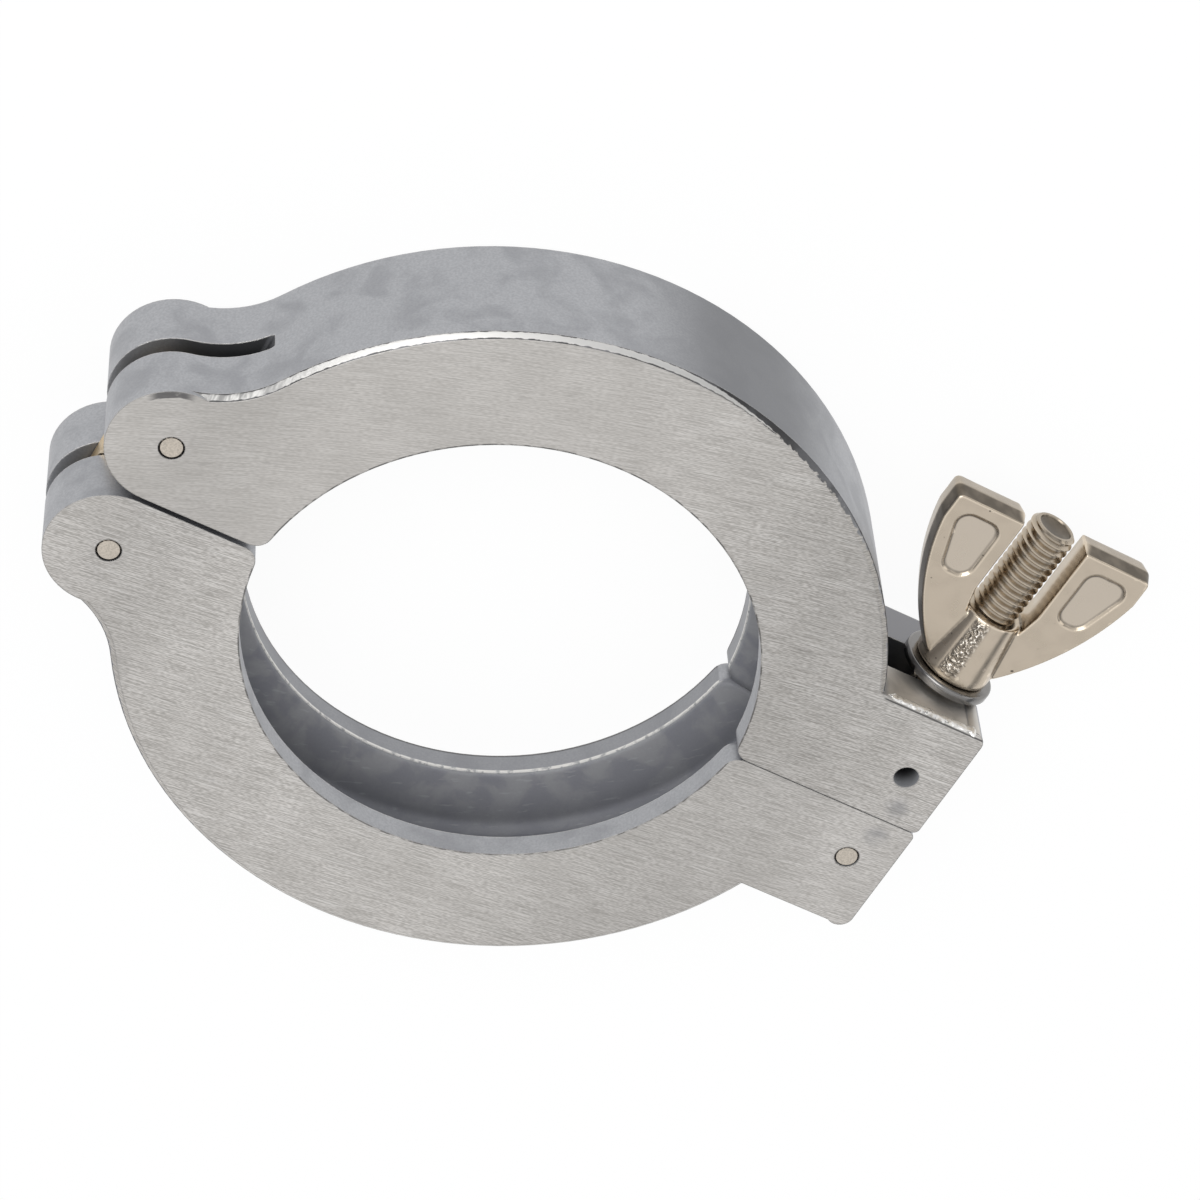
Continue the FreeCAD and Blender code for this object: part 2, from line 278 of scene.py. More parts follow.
def fade(tree, value, start, end, share_at_start=0.0, share_at_end=1.0):
    """Share that changes smoothly from one to the other as the value goes from start to end."""
    places = {0: value, 1: start, 2: end, 3: share_at_start, 4: share_at_end}
    return add_node(
        tree, "ShaderNodeMapRange", places, interpolation_type="SMOOTHSTEP").outputs[0]


def patches(tree, place, size, detail=2.0, turn=(0, 0, 0), distortion=0.0):
    """Irregular patches of the given real size, a length or three along turned axes."""
    sizes = size if hasattr(size, "__len__") else (size, size, size)
    mapping = add_node(
        tree, "ShaderNodeMapping", {0: place, 2: turn, 3: sizes}, vector_type="TEXTURE")
    node = add_node(
        tree, "ShaderNodeTexNoise",
        {"Vector": mapping, "Scale": 1.0, "Detail": detail, "Distortion": distortion})
    return node.outputs["Fac"]


def object_place(tree):
    """Place on the object, in its own frame."""
    return add_node(tree, "ShaderNodeTexCoord").outputs["Object"]


def facing(tree):
    """X, Y and Z of the way that the true face looks."""
    way = add_node(tree, "ShaderNodeNewGeometry").outputs["True Normal"]
    return add_node(tree, "ShaderNodeSeparateXYZ", {0: way}).outputs


def away_from(tree, value, middle):
    """How far the value is from the middle, to either side."""
    apart = add_node(tree, "ShaderNodeMath", {0: value, 1: middle}, operation="SUBTRACT")
    return add_node(tree, "ShaderNodeMath", {0: apart}, operation="ABSOLUTE")


def edge_share(tree, radius, low, high):
    """Share that is 1 on edges, where the rounded normal leaves the true one, and that normal."""
    rounded = add_node(tree, "ShaderNodeBevel", {"Radius": radius}, samples=4)
    true = add_node(tree, "ShaderNodeNewGeometry").outputs["Normal"]
    match = add_node(
        tree, "ShaderNodeVectorMath", {0: rounded, 1: true}, operation="DOT_PRODUCT")
    return fade(tree, match.outputs["Value"], low, high, 1.0, 0.0), rounded


def finish_metal(tree, base, roughness, normal):
    """Metal shader at the end of a material's tree."""
    shader = add_node(
        tree, "ShaderNodeBsdfPrincipled",
        {"Base Color": base, "Metallic": 1.0, "Roughness": roughness, "Normal": normal})
    add_node(tree, "ShaderNodeOutputMaterial", {"Surface": shader})


class HalfCasting:
    """Where things are on a half casting, as distances in metres and shares from 0 to 1.

    The side is +1 for the upper half, -1 for the lower one. The belt's scratches lie at its
    angle and curve by the bend, and the last share is that of the painted highlight and
    painted shade on the rounded top edge."""

    def __init__(self, tree, finish, side, belt_angle, bend, edge_light):
        self.tree = tree
        self.finish = finish
        self.side = side
        self.belt_angle = belt_angle
        self.edge_light = edge_light
        self.place = object_place(tree)
        apart = add_node(tree, "ShaderNodeSeparateXYZ", {0: self.place}).outputs
        self.x, self.y, self.z = apart["X"], apart["Y"], apart["Z"]
        self.height = away_from(tree, self.z, 0.0)
        way = facing(tree)
        self.facing_up = way["Z"]
        self.upright = away_from(tree, way["Z"], 0.0)
        self.sideways = away_from(tree, way["Y"], 0.0)

        top = cad_box[1].z
        self.on_face = fade(tree, self.height, top - 0.06 * MM, top - 0.02 * MM)
        self.off_face = away_from(tree, self.on_face, 1.0)
        self.bevel = where_all(
            tree, fade(tree, self.upright, 0.3, 0.4),
            fade(tree, self.upright, 0.85, 0.95, 1.0, 0.0),
            fade(tree, self.height, top - 1.2 * MM, top - 0.9 * MM))
        self.radius = self.distance_to(0.0, -side * ARC_SHIFT)
        self.at_bore = fade(
            tree, self.radius, BORE_RADIUS, BORE_RADIUS + 0.1 * MM, 1.0, 0.0)
        self.in_groove = where_all(
            tree, fade(tree, self.radius, BORE_RADIUS, BORE_RADIUS + 0.4 * MM),
            fade(tree, self.radius, GROOVE_RADIUS, GROOVE_RADIUS + 0.3 * MM, 1.0, 0.0),
            fade(tree, self.height, GROOVE_HALF, GROOVE_HALF + 0.3 * MM, 1.0, 0.0))
        self.in_hole = self.near_point(BOLT_PIN_X, side * BOLT_PIN_Y, 1.6 * MM, 1.7 * MM)

        from_middle = away_from(tree, self.x, BELT_MIDDLE_X)
        rise = where_all(tree, from_middle, from_middle, bend)
        shift = add_node(tree, "ShaderNodeCombineXYZ", {1: rise})
        self.over_belt = add_node(
            tree, "ShaderNodeVectorMath", {0: self.place, 1: shift}, operation="ADD")
        self.scratches = self.scratched(1, 1, detail=1.0)
        self.smudges = patches(
            tree, self.over_belt, (3 * MM, 1.2 * MM, 1.0), 3.0, (0, 0, belt_angle))
        self.grain = patches(tree, self.place, finish.grain, 3.0)
        self.stains = patches(tree, self.place, 5 * MM, 4.0, distortion=0.6)
        self.ragged = patches(tree, self.place, 0.8 * MM, 3.0)
        self.torn = patches(tree, self.place, 1.4 * MM, 4.0)
        depth = self.total(top, self.height, "SUBTRACT")
        self.below_face = self.total(
            depth, fade(tree, self.ragged, 0.3, 0.7, -0.04 * MM, 0.04 * MM))

    def total(self, first, second, operation="ADD", clamp=False):
        """Sum of two values, or their difference."""
        return add_node(
            self.tree, "ShaderNodeMath", {0: first, 1: second}, operation=operation,
            use_clamp=clamp)

    def distance_to(self, x, y):
        """Distance from an upright axis at x and y."""
        across = away_from(self.tree, self.x, x)
        along = away_from(self.tree, self.y, y)
        square = self.total(
            where_all(self.tree, across, across), where_all(self.tree, along, along))
        return add_node(self.tree, "ShaderNodeMath", {0: square}, operation="SQRT")

    def near_point(self, x, y, inner, outer):
        """1 within the inner distance of an upright axis at x and y, 0 beyond the outer one."""
        return fade(self.tree, self.distance_to(x, y), inner, outer, 1.0, 0.0)

    def scratched(self, long, wide, turn=0.0, detail=0.0):
        """Scratches of the belt, in shares of a scratch's length and width."""
        size = (long * self.finish.scratch_length, wide * self.finish.scratch_width, 1.0)
        angle = self.belt_angle - math.radians(turn)
        return patches(self.tree, self.over_belt, size, detail, (0, 0, angle))


def ground_face(at, scored_along):
    """Colour of a ground face: fine scratches, a few long dark and bright ones, and clouds.

    It is darker by the ear and before the lug: painted shade for the face's changing sheen."""
    tree = at.tree
    scored = fade(tree, at.x, *scored_along)
    fine = at.total(
        where_all(tree, at.scratches, 0.64), where_all(tree, at.scratched(0.13, 1.3), 0.36))
    darkest = at.total(0.45, where_all(tree, scored, 0.5), "SUBTRACT")
    lightest = at.total(0.75 - at.side * 0.05, where_all(tree, scored, 0.3))
    dark_lines = fade(tree, at.scratched(1.6, 1.1, turn=5), 0.6, 0.72, 0.0, 0.55)
    bright_lines = fade(tree, at.scratched(2.2, 1.1, turn=2), 0.66, 0.76, 0.0, 0.75)
    clouds = patches(tree, at.place, 9 * MM, 3.0)
    face = coated(
        tree, at.finish.ground_dark,
        (fade(tree, fine, 0.38, 0.62, darkest, lightest), at.finish.ground_light),
        (where_all(tree, dark_lines, scored), SCRATCH_FLOOR),
        (where_all(tree, bright_lines, scored), "F4F2EE"),
        (fade(tree, clouds, 0.3, 0.75, 0.0, 0.25), at.finish.ground_dark))
    # Painted shade for the face's sheen: darker by the ear and before the lug
    sheen_shade_by_ear = fade(tree, away_from(tree, at.x, -42 * MM), 2 * MM, 11 * MM, 0.55, 0.0)
    sheen_shade_by_lug = fade(tree, away_from(tree, at.x, 32 * MM), 3 * MM, 22 * MM, 0.85, 0.0)
    face = coated(
        tree, face, (where_either(tree, sheen_shade_by_ear, sheen_shade_by_lug), (0.86, 0.86, 0.86)), blend="MULTIPLY")
    return coated(tree, face, (fade(tree, at.smudges, 0.64, 0.76, 0.0, 0.2), SCRATCH_FLOOR))


def marked_face(at, face):
    """The face with painted shadow along the bore's edge and under the seat's burr, painted shade
    along the ear's edge, and a smudge.
    """
    tree = at.tree
    # Painted shadow: a dark ragged line on the face along the bore's edge
    bore_edge_shadow = where_all(
        tree, fade(tree, at.radius, BORE_RADIUS + 0.02 * MM, BORE_RADIUS + 0.12 * MM, 1.0, 0.0),
        fade(tree, at.torn, 0.42, 0.55, 0.1, 0.8))
    inside_ear = at.near_point(EAR_PIN_X, EAR_PIN_Y, 6.2 * MM, 6.9 * MM)
    ear_edge = at.total(at.total(at.torn, 0.12), inside_ear, "SUBTRACT")
    # Painted shade: a dark crescent on the face along the ear's rounded edge
    ear_edge_shade = where_all(
        tree, at.near_point(-49.2 * MM, 14.0 * MM, 1.4 * MM, 3.0 * MM),
        fade(tree, ear_edge, 0.3, 0.55, 0.0, 0.8 * at.edge_light))
    smudge = where_all(
        tree, at.near_point(52 * MM, at.side * 2.4 * MM, 0.3 * MM, 2.2 * MM),
        fade(tree, at.smudges, 0.35, 0.6, 0.2, 0.5))
    # Painted shadow: the seat's burr casts a dark line on the face
    burr_shadow = where_all(
        tree, fade(tree, away_from(tree, at.y, BURR_FOOT_Y), 0.05 * MM, 0.18 * MM, 0.85, 0.0),
        fade(tree, at.x, LUG_START, LUG_START + 0.6 * MM))
    return coated(
        tree, face, (bore_edge_shadow, BORE_EDGE_SHADE), (ear_edge_shade, "4E4E50"), (smudge, "87878A"),
        (burr_shadow, EDGE_SHADE))


def blasted_skin(at):
    """Colour of the blasted skin: fine grain, darker stains, and painted shade on a shoulder and
    in the slots.
    """
    tree = at.tree
    # Painted shade: a darker band on the ring's shoulder
    shoulder_shade = where_all(
        tree, fade(tree, at.x, -8 * MM, 6 * MM), fade(tree, at.x, 13 * MM, 27 * MM, 0.85, 0.0),
        fade(tree, at.radius, 40 * MM, 42 * MM))
    # Painted shade on the walls and ends of the slots
    slot_wall_shade = where_all(
        tree, fade(tree, at.height, BOLT_SLOT_HALF, BOLT_SLOT_HALF + 0.1 * MM, 1.0, 0.0),
        fade(tree, at.upright, 0.9, 0.95), fade(tree, at.x, -51 * MM, -47 * MM, 0.2, 0.8))
    slot_end_shade = where_all(
        tree, fade(tree, at.height, LINK_SLOT_HALF, LINK_SLOT_HALF + 0.1 * MM, 1.0, 0.0),
        fade(tree, at.sideways, 0.3, 0.5, 0.85, 0.0),
        fade(tree, away_from(tree, at.x, LINK_SLOT_END_X), 0.4 * MM, 0.6 * MM, 1.0, 0.0))
    return coated(
        tree, at.finish.skin_light,
        (fade(tree, at.stains, 0.4, 0.7, 0.0, 0.6), at.finish.skin_dark),
        (fade(tree, at.grain, 0.3, 0.7, 0.0, 0.45), at.finish.skin_dark),
        (shoulder_shade, "7D7E81"), (where_either(tree, slot_wall_shade, slot_end_shade), "5C5D60"))


def groove_skin(at):
    """Colour of the as-cast groove: cloudy, with painted shade on the faces under the near lip,
    and a few scuffs.
    """
    tree = at.tree
    flow = patches(tree, at.place, (4 * MM, 4 * MM, 2 * MM), 4.0, distortion=0.4)
    scuffs = patches(tree, at.place, (2.5 * MM, 2.5 * MM, 0.3 * MM), 3.0, (0.3, 0.2, 0))
    by_far_lip = where_all(
        tree, fade(tree, at.z, -6.2 * MM, -4.6 * MM, 0.35, 0.1), fade(tree, flow, 0.4, 0.6))
    return coated(
        tree, at.finish.groove,
        (fade(tree, flow, 0.45, 0.75, 0.0, 0.3), at.finish.skin_light),
        (fade(tree, at.grain, 0.3, 0.7, 0.0, 0.3), at.finish.skin_dark),
        # Painted shade: the faces that look down, under the near lip, are darkened
        (fade(tree, at.facing_up, -0.5, -0.1, 0.9, 0.0), "37383B"), (by_far_lip, "C4C3C2"),
        (fade(tree, scuffs, 0.62, 0.72, 0.0, 0.35), "C9CACD"))


def whole_skin(at):
    """Colour of the skin, the groove and the lips at the bore, of which the far one is darker and
    has painted shade along its back edge.
    """
    tree = at.tree
    far_lip = where_all(tree, at.at_bore, fade(tree, at.z, -1 * MM, 1 * MM, 0.55, 0.0))
    # Painted shade: a dark line along the back edge of the far lip
    far_edge_shade = where_all(
        tree, at.at_bore, fade(tree, at.z, -9.45 * MM, -9.2 * MM, 0.75, 0.0))
    return coated(
        tree, blasted_skin(at), (at.in_groove, groove_skin(at)), (far_lip, "85868A"),
        (far_edge_shade, BORE_EDGE_SHADE))


def painted_edge_highlight(at):
    """Share of the painted highlight: a bright band along the rounded edge.

    The band is broad from the ear to the top of the ring and runs out beyond it."""
    tree = at.tree
    band_end = fade(tree, at.x, -2 * MM, 17 * MM, 0.68 * MM, 0.1 * MM)
    inside = at.total(band_end, at.below_face, "SUBTRACT")
    streaked = patches(tree, at.place, (0.5 * MM, 2 * MM, 2 * MM))
    past_ear = at.total(
        fade(tree, at.x, -42 * MM, -32 * MM), fade(tree, streaked, 0.35, 0.65, 0.3, 0.8),
        clamp=True)
    return where_all(
        tree, at.bevel, fade(tree, inside, 0.0, 0.08 * MM),
        fade(tree, at.below_face, 0.1 * MM, 0.18 * MM), past_ear, at.edge_light)


def outer_edge(at, skin, face, edge_highlight):
    """The skin with its rounded edge, where painted shade lies dark and ragged beside the painted
    highlight.

    Where there is no painted highlight, the ground face runs on over most of the edge."""
    tree = at.tree
    unhighlighted = 1 - at.edge_light
    # Painted shade: the rounded edge goes dark beside and beyond the painted highlight
    shaded_edge = where_all(
        tree, at.bevel, fade(tree, at.stains, 0.35, 0.55, 0.6, 0.9),
        fade(tree, at.x, 18 * MM, 34 * MM, at.edge_light, 0.0))
    ground_end = at.total(
        fade(tree, at.x, 16 * MM, 34 * MM, (0.1 + 0.5 * unhighlighted) * MM, 0.6 * MM),
        fade(tree, at.ragged, 0.35, 0.65, 0.1 * MM, -0.1 * MM))
    ground = where_all(
        tree, at.bevel, fade(tree, at.x, 0.0, 12 * MM, unhighlighted, 1.0),
        fade(tree, at.total(ground_end, at.below_face, "SUBTRACT"), -0.06 * MM, 0.1 * MM))
    # Painted shade: a dark line along the rounded edge beside the face
    shade_line = where_all(
        tree, at.bevel, fade(tree, at.x, 22 * MM, 30 * MM, unhighlighted, 1.0),
        fade(tree, at.below_face, 0.56 * MM, 0.64 * MM, 0.0, 0.8))
    return coated(
        tree, skin, (shaded_edge, EDGE_SHADE), (ground, face), (shade_line, EDGE_SHADE),
        (edge_highlight, at.finish.bright_edge))


def milled_seat(at, skin):
    """The skin with the washer's milled seat, painted light in front and shade behind, and the
    pin's hole.
    """
    tree = at.tree
    seat = where_all(
        tree, fade(tree, at.x, LUG_START, LUG_START + 1 * MM),
        fade(tree, at.sideways, 0.85, 0.93),
        fade(tree, away_from(tree, at.y, 0.0), 12 * MM, 13 * MM))
    # Painted light on the seat's front half, and painted shade on its back half
    front = coated(tree, "DAD6D0", (fade(tree, at.stains, 0.35, 0.7), "BDBAB5"))
    seat_lit_and_shaded = coated(tree, "8F8F92", (fade(tree, at.z, -1 * MM, 1 * MM), front))
    # Painted shade: the pin's hole darkens deeper in
    hole_shaded = coated(
        tree, "C8C9CC", (fade(tree, at.below_face, 0.3 * MM, 3.5 * MM), "4A4A4C"),
        (fade(tree, at.below_face, 0.1 * MM, 0.22 * MM, 1.0, 0.0), at.finish.bright_edge))
    return coated(tree, skin, (seat, seat_lit_and_shaded), (at.in_hole, hole_shaded))


def worn_edges(at, base):
    """The base with its sharp edges rubbed bright, a dark line of painted shade beside them on the
    face, and the normal rounded over them.
    """
    tree = at.tree
    reach = add_node(tree, "ShaderNodeMix", {0: at.bevel, 2: at.finish.edge_wear, 3: 0.5 * MM})
    reach = add_node(tree, "ShaderNodeMix", {0: at.in_groove, 2: reach, 3: 1.2 * MM})
    edges, rounded = edge_share(tree, reach, 0.88, 0.99)
    sharp = away_from(tree, where_either(tree, at.bevel, at.in_groove), 1.0)
    lip_edge = where_all(
        tree, at.at_bore, fade(tree, at.z, -6.75 * MM, -6.6 * MM),
        fade(tree, at.z, -6.0 * MM, -5.8 * MM, 1.0, 0.0))
    edges = where_either(tree, where_all(tree, edges, sharp), lip_edge)
    rubbed = patches(tree, at.place, 0.7 * MM, 3.0)
    wear = where_all(tree, edges, fade(tree, rubbed, 0.33, 0.5, 0.25, 0.9))
    # Painted shade: a dark line beside the sharp edges on the face
    shade_line = where_all(tree, edges, at.on_face, 0.65)
    return coated(
        tree, base, (wear, at.finish.bright_edge), (shade_line, "5A5957")), rounded


def die_cast_aluminium(name, finish, side, belt_angle, bend, edge_light, scored_along):
    """Die-cast aluminium, blasted outside, with both faces ground on a belt.

    The belt leaves fine scratches on the faces alone. The outer skin keeps a fine matt grain
    with darker stains, its rounded edge carries a painted highlight and painted shade by the
    edge's share of light, and the groove keeps the dull dark skin of the die. Real scratches
    and blast grain are 0.05 mm wide and less, and are drawn wider so that they show. The
    scratches are as deep as scored_along says: two places along X and the shares there. The
    other values are a HalfCasting's."""
    material, tree = new_material(name)
    at = HalfCasting(tree, finish, side, belt_angle, bend, edge_light)
    face = ground_face(at, scored_along)
    # Painted highlight: the bright band on the upper half's rounded edge
    edge_highlight = painted_edge_highlight(at)
    skin = milled_seat(at, outer_edge(at, whole_skin(at), face, edge_highlight))
    base, rounded = worn_edges(
        at, coated(tree, skin, (at.on_face, marked_face(at, face))))

    on_belt = fade(tree, at.scratches, 0.3, 0.7, 0.36, 0.48)
    rough = add_node(tree, "ShaderNodeMix", {0: at.on_face, 2: 0.5, 3: on_belt})
    in_wall = where_all(tree, at.in_hole, at.off_face)
    for share, over in ((edge_highlight, 0.36), (at.in_groove, 0.68), (in_wall, 0.8)):
        rough = add_node(tree, "ShaderNodeMix", {0: share, 2: rough, 3: over})
    relief = add_node(tree, "ShaderNodeMix", {0: at.on_face, 2: at.grain, 3: at.scratches})
    normal = add_node(
        tree, "ShaderNodeBump",
        {"Strength": 0.25, "Distance": 0.02 * MM, "Height": relief, "Normal": rounded})
    finish_metal(tree, base, rough, normal)
    return material


def painted(tree, name):
    """Value that was painted on the mesh."""
    return add_node(tree, "ShaderNodeAttribute", attribute_name=name).outputs["Fac"]


def nickel_plate(name, plating, size_of_ripple, edge_contrast=0.0):
    """Nickel plate, tumbled: a warm bright metal whose slow ripples and few dark pits show.

    A value painted on the mesh as painted shade browns the thread's roots, the draft faces and
    the hollows, and painted spatter roughens the band where the casting's gate was broken off,
    its crumbs coloured as painted shade and glints. The last share rubs the edges bright, which
    also stands for their highlight, and lays painted shade in the creases."""
    material, tree = new_material(name)
    place = object_place(tree)
    tone = patches(tree, place, 2.5 * MM, 3.0)
    pits = patches(tree, place, 0.7 * MM, 1.0)
    streaks = patches(tree, place, 2 * MM)
    crumbs = patches(tree, place, 0.34 * MM)
    bulge = add_node(tree, "ShaderNodeNewGeometry").outputs["Pointiness"]
    painted_shade = painted(tree, "painted_shade")
    spatter = painted(tree, "spatter")
    dark = [channel * 0.7 for channel in plating]
    pale = [channel * share for channel, share in zip(plating, (1.03, 1.05, 1.09))]
    bright = [min(1.0, channel * 1.45) for channel in plating]
    # Painted glints and painted shade: bright and dark crumbs on the rough band
    crumb_glints_and_shade = coated(tree, "57514A", (fade(tree, crumbs, 0.5, 0.66), "EFE8DD"))
    base = coated(
        tree, plating, (fade(tree, tone, 0.35, 0.75, 0.0, 0.2), dark),
        (fade(tree, pits, 0.74, 0.79, 0.0, 0.8), NICKEL_DIRT_AND_SHADE), (painted(tree, "pad"), pale),
        # Rubbed bright edges, also a painted highlight, and painted shade in the creases
        (fade(tree, bulge, 0.507, 0.522, 0.0, edge_contrast), bright),
        (fade(tree, bulge, 0.478, 0.493, edge_contrast, 0.0), NICKEL_DIRT_AND_SHADE),
        # Painted shade: darker and browner where the mesh holds painted shade
        (where_all(tree, painted_shade, fade(tree, streaks, 0.3, 0.6, 0.85, 1.0)), "2E2923"),
        (where_all(tree, spatter, 0.75), crumb_glints_and_shade))
    rough = fade(tree, tone, 0.3, 0.7, 0.18, 0.28)
    rough = add_node(tree, "ShaderNodeMix", {0: painted_shade, 2: rough, 3: 0.35})
    ripple = patches(tree, place, size_of_ripple)
    normal = add_node(
        tree, "ShaderNodeBump", {"Strength": 0.12, "Distance": 0.05 * MM, "Height": ripple})
    lumps = where_all(tree, crumbs, spatter)
    normal = add_node(
        tree, "ShaderNodeBump",
        {"Strength": 1.0, "Distance": 0.22 * MM, "Height": lumps, "Normal": normal})
    finish_metal(tree, base, rough, normal)
    return material


def torn_aluminium(name):
    """Aluminium smeared over an edge by the grinding belt: bright, with dark folds."""
    material, tree = new_material(name)
    folds = patches(tree, object_place(tree), 0.5 * MM)
    base = coated(tree, "8A8986", (fade(tree, folds, 0.25, 0.42), "F6F4F0"))
    normal = add_node(
        tree, "ShaderNodeBump", {"Strength": 0.5, "Distance": 0.08 * MM, "Height": folds})
    finish_metal(tree, base, 0.42, normal)
    return material


def drawn_steel(name, steel):
    """Drawn steel, cut to length: a fine-grained warm grey end, and painted shade on the serrated
    sides.
    """
    material, tree = new_material(name)
    grain = patches(tree, object_place(tree), 0.2 * MM, 3.0)
    dark = [channel * 0.75 for channel in steel]
    upright = away_from(tree, facing(tree)["Z"], 0.0)
    base = coated(
        tree, dark, (fade(tree, grain, 0.3, 0.7), steel),
        # Painted shade on the serrated sides, which show only down in the hole
        (fade(tree, upright, 0.9, 0.97, 0.92, 0.0), "2A241F"))
    normal = add_node(
        tree, "ShaderNodeBump", {"Strength": 0.2, "Distance": 0.02 * MM, "Height": grain})
    finish_metal(tree, base, fade(tree, grain, 0.3, 0.7, 0.3, 0.42), normal)
    return material


def yellow_zinc(name, zinc):
    """Zinc-plated steel, yellow passivated: a pale gold that drifts to a deeper one."""
    material, tree = new_material(name)
    drift = patches(tree, object_place(tree), 2.5 * MM)
    edges, rounded = edge_share(tree, 0.15 * MM, 0.80, 0.97)
    base = coated(
        tree, zinc, (fade(tree, drift, 0.3, 0.7), "DDC49A"),
        (where_all(tree, edges, 0.5), "D8CDB4"))
    finish_metal(tree, base, fade(tree, drift, 0.3, 0.7, 0.26, 0.4), rounded)
    return material


def bolt_frame():
    """Matrix from the bolt's own frame, with the pin at the origin and the bolt along +Y."""
    along = Vector(joints["washer_slide"]["axis"]).normalized()
    up = Vector((0, 0, 1))
    place = Matrix((along.cross(up), along, up)).transposed().to_4x4()
    place.translation = Vector(joints["bolt_swing"]["pos_m"])
    return place


def box_on_bolt(node):
    """Lowest and highest corners of a CAD node in the bolt's own frame."""
    back = bolt_frame().inverted()
    points = [back @ vertex.co for vertex in frame["nodes"][node].data.vertices]
    low = Vector([min(point[axis] for point in points) for axis in range(3)])
    high = Vector([max(point[axis] for point in points) for axis in range(3)])
    return low, high


def join_rings(shape, rings, closed=False):
    """Adds the faces from ring to ring, looking outwards. A ring may be a single vertex.

    Closed joins the last ring to the first, and otherwise the end rings are capped."""
    following = rings[1:] + rings[:1] if closed else rings[1:]
    for near, far in zip(rings, following):
        sides = max(len(near), len(far))
        for step in range(sides):
            ahead = (step + 1) % sides
            corners = [
                near[step % len(near)], far[step % len(far)],
                far[ahead % len(far)], near[ahead % len(near)]]
            shape.faces.new(list(dict.fromkeys(corners)))
    if not closed:
        for ring in (rings[0], rings[-1]):
            if len(ring) > 1:
                shape.faces.new(ring)
    bmesh.ops.recalc_face_normals(shape, faces=shape.faces)
    return shape


def turned(profile, sides=72, closed=False):
    """Mesh of (radius, along) points turned about +Y; closed joins the last to the first."""
    shape = bmesh.new()
    rings = []
    for radius, along in profile:
        count = sides if radius > 0 else 1
        turns = [FULL_TURN * step / sides for step in range(count)]
        rings.append([
            shape.verts.new((radius * math.cos(turn), along, -radius * math.sin(turn)))
            for turn in turns])
    return join_rings(shape, rings, closed)


def helix_groove(thread, start, end):
    """V groove of a thread, as a solid that winds about +Y and rises out at its start.

    As in metric threads it is 7/8 of the pitch wide at the crest and 1/4 at the root."""
    shape = bmesh.new()
    outside = 0.02 * MM
    half_mouth = 7 / 16 * thread.pitch + outside * math.tan(THREAD_FLANK)
    half_root = thread.pitch / 8
    turns = (end - start) / thread.pitch
    rings = []
    for step in range(int(turns * thread.steps) + 1):
        turn = FULL_TURN * step / thread.steps
        middle = start + thread.pitch * step / thread.steps
        lift = thread.depth * max(0.0, 1 - step / thread.steps)
        mouth = THREAD_CREST + outside + lift
        root = THREAD_CREST - thread.depth + lift
        corners = (
            (-half_mouth, mouth), (-half_root, root), (half_root, root), (half_mouth, mouth))
        rings.append([
            shape.verts.new((radius * math.cos(turn), middle + along, radius * math.sin(turn)))
            for along, radius in corners])
    return join_rings(shape, rings)


def place_shape(shape, name, matrix=None):
    """Object made of a bmesh, moved by the matrix into the row frame."""
    mesh = bpy.data.meshes.new(name)
    if matrix is not None:
        shape.transform(matrix)
    shape.to_mesh(mesh)
    shape.free()
    piece = bpy.data.objects.new(name, mesh)
    bpy.context.scene.collection.objects.link(piece)
    return piece


def add_shape(piece, shape, matrix):
    """Adds a bmesh, moved by the matrix, to the piece's mesh."""
    shape.transform(matrix)
    shape.from_mesh(piece.data)
    shape.to_mesh(piece.data)
    shape.free()


def copy_of_node(node, name):
    """New object with a copy of a CAD node's mesh, its seams closed."""
    shape = bmesh.new()
    shape.from_mesh(frame["nodes"][node].data)
    bmesh.ops.remove_doubles(shape, verts=shape.verts, dist=0.002 * MM)
    return place_shape(shape, name)


def apply_modifiers(piece):
    """Replaces the piece's mesh by what its modifiers make of it."""
    graph = bpy.context.evaluated_depsgraph_get()
    made = bpy.data.meshes.new_from_object(piece.evaluated_get(graph))
    piece.modifiers.clear()
    piece.data = made


def cut_away(piece, cutter):
    """Cuts one solid out of the other and removes the cutter."""
    cut = piece.modifiers.new("cut", "BOOLEAN")
    cut.operation = "DIFFERENCE"
    cut.solver = "EXACT"
    cut.object = cutter
    apply_modifiers(piece)
    bpy.data.objects.remove(cutter)


def smooth_below(piece, angle):
    """Shades the piece smooth, except across edges sharper than the angle in degrees."""
    shape = bmesh.new()
    shape.from_mesh(piece.data)
    for face in shape.faces:
        face.smooth = True
    for edge in shape.edges:
        if len(edge.link_faces) == 2:
            edge.smooth = edge.calc_face_angle(0.0) < math.radians(angle)
    shape.to_mesh(piece.data)
    shape.free()


def ramp(value, low, high):
    """0 below low, 1 above high and smooth between; low may be above high."""
    share = min(1.0, max(0.0, (value - low) / (high - low)))
    return share * share * (3 - 2 * share)


def spots_on_bolt(piece):
    """Place and normal of each vertex of the piece, in the bolt's own frame."""
    back = bolt_frame().inverted()
    turn = back.to_3x3()
    return [(back @ vertex.co, turn @ vertex.normal) for vertex in piece.data.vertices]


def paint(piece, name, values):
    """Stores a value for each vertex of the piece."""
    layer = piece.data.attributes.new(name, "FLOAT", "POINT")
    layer.data.foreach_set("value", values)


def hand_over(piece, material, body, slot, *nodes):
    """Gives a finished piece its material and its body, and hides the nodes that it stands for.
    The record slot is not used.
    """
    piece.data.materials.clear()
    piece.data.materials.append(material)
    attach(piece, body)
    if nodes:
        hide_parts(*nodes)


def dress(node, material):
    """Gives a CAD node that stays in view its material."""
    mesh = frame["nodes"][node].data
    mesh.materials.clear()
    mesh.materials.append(material)


